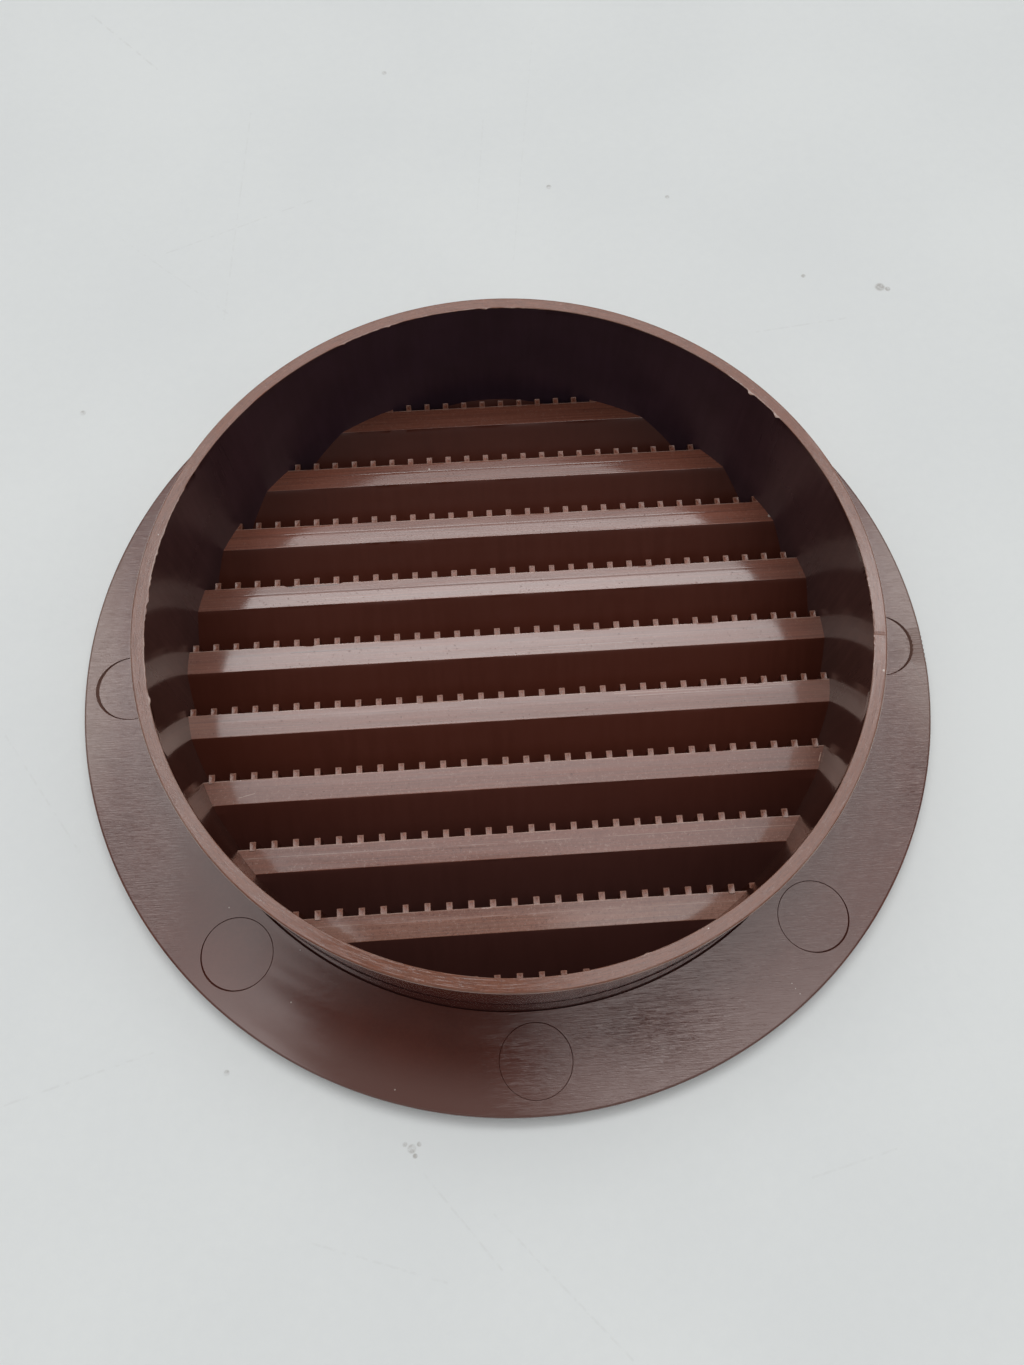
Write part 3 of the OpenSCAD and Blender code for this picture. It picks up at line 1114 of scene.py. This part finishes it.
PAPER_SIZE = 6000
PAPER_Z = -0.01
PAPER_DARK = (0.765, 0.79, 0.79, 1)
PAPER_LIGHT = (0.805, 0.83, 0.825, 1)
PAPER_DIRT = (0.30, 0.27, 0.24, 1)
PAPER_LINES = (
    ((-72.9, 143.8), (-59.6, 128.9), 0.4, 0.7), ((-41.4, 116.6), (-45.2, 69.0), 0.3, 0.4),
    ((-55.7, 84.2), (-29.7, 94.8), 0.3, 0.5), ((-63.7, 87.6), (-44.7, 70.4), 0.3, 0.45),
    ((2.3, 112.3), (0.0, 90.0), 0.3, 0.35), ((13.5, 135.9), (5.7, 77.5), 0.25, 0.3),
    ((45.4, 60.8), (64.4, 63.1), 0.3, 0.5), ((-71.4, -57.1), (-51.5, -51.6), 0.3, 0.5),
    ((-16.9, -67.2), (-3.9, -83.4), 0.3, 0.5), ((-6.8, -74.1), (9.5, -91.7), 0.3, 0.45),
    ((34.3, -72.9), (46.7, -70.0), 0.3, 0.4), ((-31.6, -75.6), (-13.1, -81.7), 0.3, 0.4),
    ((-76.6, -3.6), (-63.3, -23.5), 0.3, 0.4))
PAPER_SPECKS = ((70.3, 69.3, 1.1), (71.6, 68.8, 0.6), (-68.2, 51.3, 0.6), (-41.5, -54.8, 0.5),
                (35.0, 91.8, 0.5), (-16.0, 125.4, 0.6), (13.5, 95.4, 0.6), (57.1, 72.5, 0.5),
                (-17.0, -65.8, 0.7), (-16.0, -65.3, 0.4), (-17.9, -65.2, 0.4), (-16.6, -66.7, 0.4))


def paper_material():
    """White paper with a faint grain, a few scratches and crumbs."""
    tree, place = new_material("paper")
    fibre = tree.noise(place, scale=0.5, detail=5.0, roughness=0.7)
    cloud = tree.noise(place, scale=0.02, detail=2.0)
    shade = tree.plus(tree.times(fibre, 0.3), tree.times(cloud, 0.7))
    broken = tree.remap(tree.noise(place, scale=0.8, detail=3.0), 0.4, 0.6, 0.0, 0.16)
    faint = tree.remap(fibre, 0.4, 0.6, 0.1, 0.6)
    colour = painted(
        tree, tree.mix(tree.remap(shade, 0.3, 0.7), PAPER_DARK, PAPER_LIGHT),
        (PAPER_DIRT, scratches(tree, place, PAPER_LINES), broken),
        (PAPER_DIRT, specks(tree, place, PAPER_SPECKS), faint))
    shader = tree.add("ShaderNodeBsdfPrincipled", {
        "Base Color": colour, "Roughness": 0.9, "Normal": tree.bump(fibre, 0.03),
    })
    tree.add("ShaderNodeOutputMaterial", {"Surface": shader.outputs[0]})
    return tree.owner


def make_paper():
    """The sheet of paper that the grille lies on."""
    side = PAPER_SIZE / 2
    corners = [(x * side, y * side, PAPER_Z) for x, y in ((-1, -1), (1, -1), (1, 1), (-1, 1))]
    closed_piece("paper", corners, [(0, 1, 2, 3)], [paper_material()])


# Where the sky's light comes from. u and v are a direction's sideways steps for each step up.
# Each light has its middle and its spread in u and v, and a strength.
SKY_BASE = 0.62
SKY_LIGHTS = (((0.00, 0.39), (0.60, 0.17), 1.84), ((0.02, 0.428), (0.56, 0.09), 3.82),
              ((0.00, 0.02), (0.60, 0.20), 1.76), ((0.00, -0.22), (0.60, 0.16), 1.0),
              ((0.00, 0.85), (0.80, 0.20), 1.21))
# The bright band rises towards +X
SKY_LEAN = 0.05
# Edges of the dark patch along u and along v, and how soft each edge is. Towards -Y its -U edge
# spreads.
SKY_SHADE_U, SKY_SHADE_V = (-0.182, 0.059), (-0.5, 0.162)
SKY_SOFT_U, SKY_SOFT_V = (0.012, 0.014), (0.04, 0.015)
SKY_SHADE_SPREAD = 0.5
# The light fades out between these heights of a direction, and a weak glow towards +Y is left
SKY_END = (0.55, 0.68)
SKY_GLOW = 0.12
SKY_GLOW_Y = (-0.5, 0.3)
BACKDROP = (0.76, 0.79, 0.80, 1)
BACKDROP_STRENGTH = 0.9


def sky_shade(tree, u, v):
    """1 in the dark patch of sky where the photographer stood."""
    spread = tree.minus(u, tree.times(tree.math("MINIMUM", v, 0.0), SKY_SHADE_SPREAD))
    return tree.times(
        tree.remap(spread, SKY_SHADE_U[0] - SKY_SOFT_U[0], SKY_SHADE_U[0] + SKY_SOFT_U[0]),
        tree.remap(u, SKY_SHADE_U[1] + SKY_SOFT_U[1], SKY_SHADE_U[1] - SKY_SOFT_U[1]),
        tree.remap(v, SKY_SHADE_V[0] - SKY_SOFT_V[0], SKY_SHADE_V[0] + SKY_SOFT_V[0]),
        tree.remap(v, SKY_SHADE_V[1] + SKY_SOFT_V[1], SKY_SHADE_V[1] - SKY_SOFT_V[1]))


def make_sky():
    """Soft light from overhead, brightest towards +Y, with a dark patch. The camera sees a plain
    pale backdrop."""
    world = bpy.data.worlds.new("studio")
    bpy.context.scene.world = world
    tree = Tree(world)
    x, y, z = tree.split(tree.add("ShaderNodeTexCoord").outputs["Generated"])
    up = tree.largest(z, 0.02)
    u, v = tree.math("DIVIDE", x, up), tree.math("DIVIDE", y, up)
    leaned = tree.minus(v, tree.times(u, SKY_LEAN))
    lights = [tree.times(soft_patch(tree, u, leaned, centre, spread), strength)
              for centre, spread, strength in SKY_LIGHTS]
    light = tree.times(tree.plus(SKY_BASE, *lights), tree.minus(1.0, sky_shade(tree, u, v)),
                       tree.remap(z, *SKY_END, smooth=False))
    light = tree.plus(light, tree.remap(y, *SKY_GLOW_Y, 0.0, SKY_GLOW))
    sky = tree.add("ShaderNodeBackground", {"Color": WHITE, "Strength": light})
    backdrop = tree.add("ShaderNodeBackground", {"Color": BACKDROP, "Strength": BACKDROP_STRENGTH})
    seen = tree.add("ShaderNodeLightPath").outputs["Is Camera Ray"]
    mixed = tree.add("ShaderNodeMixShader", {0: seen, 1: sky.outputs[0], 2: backdrop.outputs[0]})
    tree.add("ShaderNodeOutputWorld", {"Surface": mixed.outputs[0]})


def make_camera():
    """The camera where the photograph was taken from."""
    elevation, azimuth, roll = map(math.radians, (CAMERA_ELEVATION, CAMERA_AZIMUTH, CAMERA_ROLL))
    forward = Vector((math.sin(azimuth) * math.cos(elevation),
                      math.cos(azimuth) * math.cos(elevation), -math.sin(elevation)))
    right = Vector((math.cos(azimuth), -math.sin(azimuth), 0))
    up = right.cross(forward)
    side = right * math.cos(roll) + up * math.sin(roll)
    top = up * math.cos(roll) - right * math.sin(roll)
    camera = bpy.data.objects.new("camera", bpy.data.cameras.new("camera"))
    camera.data.lens = CAMERA_LENS
    camera.data.sensor_width = CAMERA_SENSOR
    camera.data.clip_start = CAMERA_CLIP
    axes = Matrix((side, top, -forward)).transposed().to_4x4()
    camera.matrix_world = Matrix.Translation(Vector(CAMERA_AT) * MM) @ axes
    bpy.context.scene.collection.objects.link(camera)
    bpy.context.scene.camera = camera
    bpy.context.scene.view_settings.view_transform = "Standard"


make_camera()
make_sky()
make_paper()

shell = make_shell()
cut_ejector_marks(shell)
slats = make_slats([main_land_material(), witness_material(), strip_material(), face_material()])
bars = make_bars([bar_material()])
for piece in (shell, slats, bars):
    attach(piece, BODY)
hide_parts(NODE)
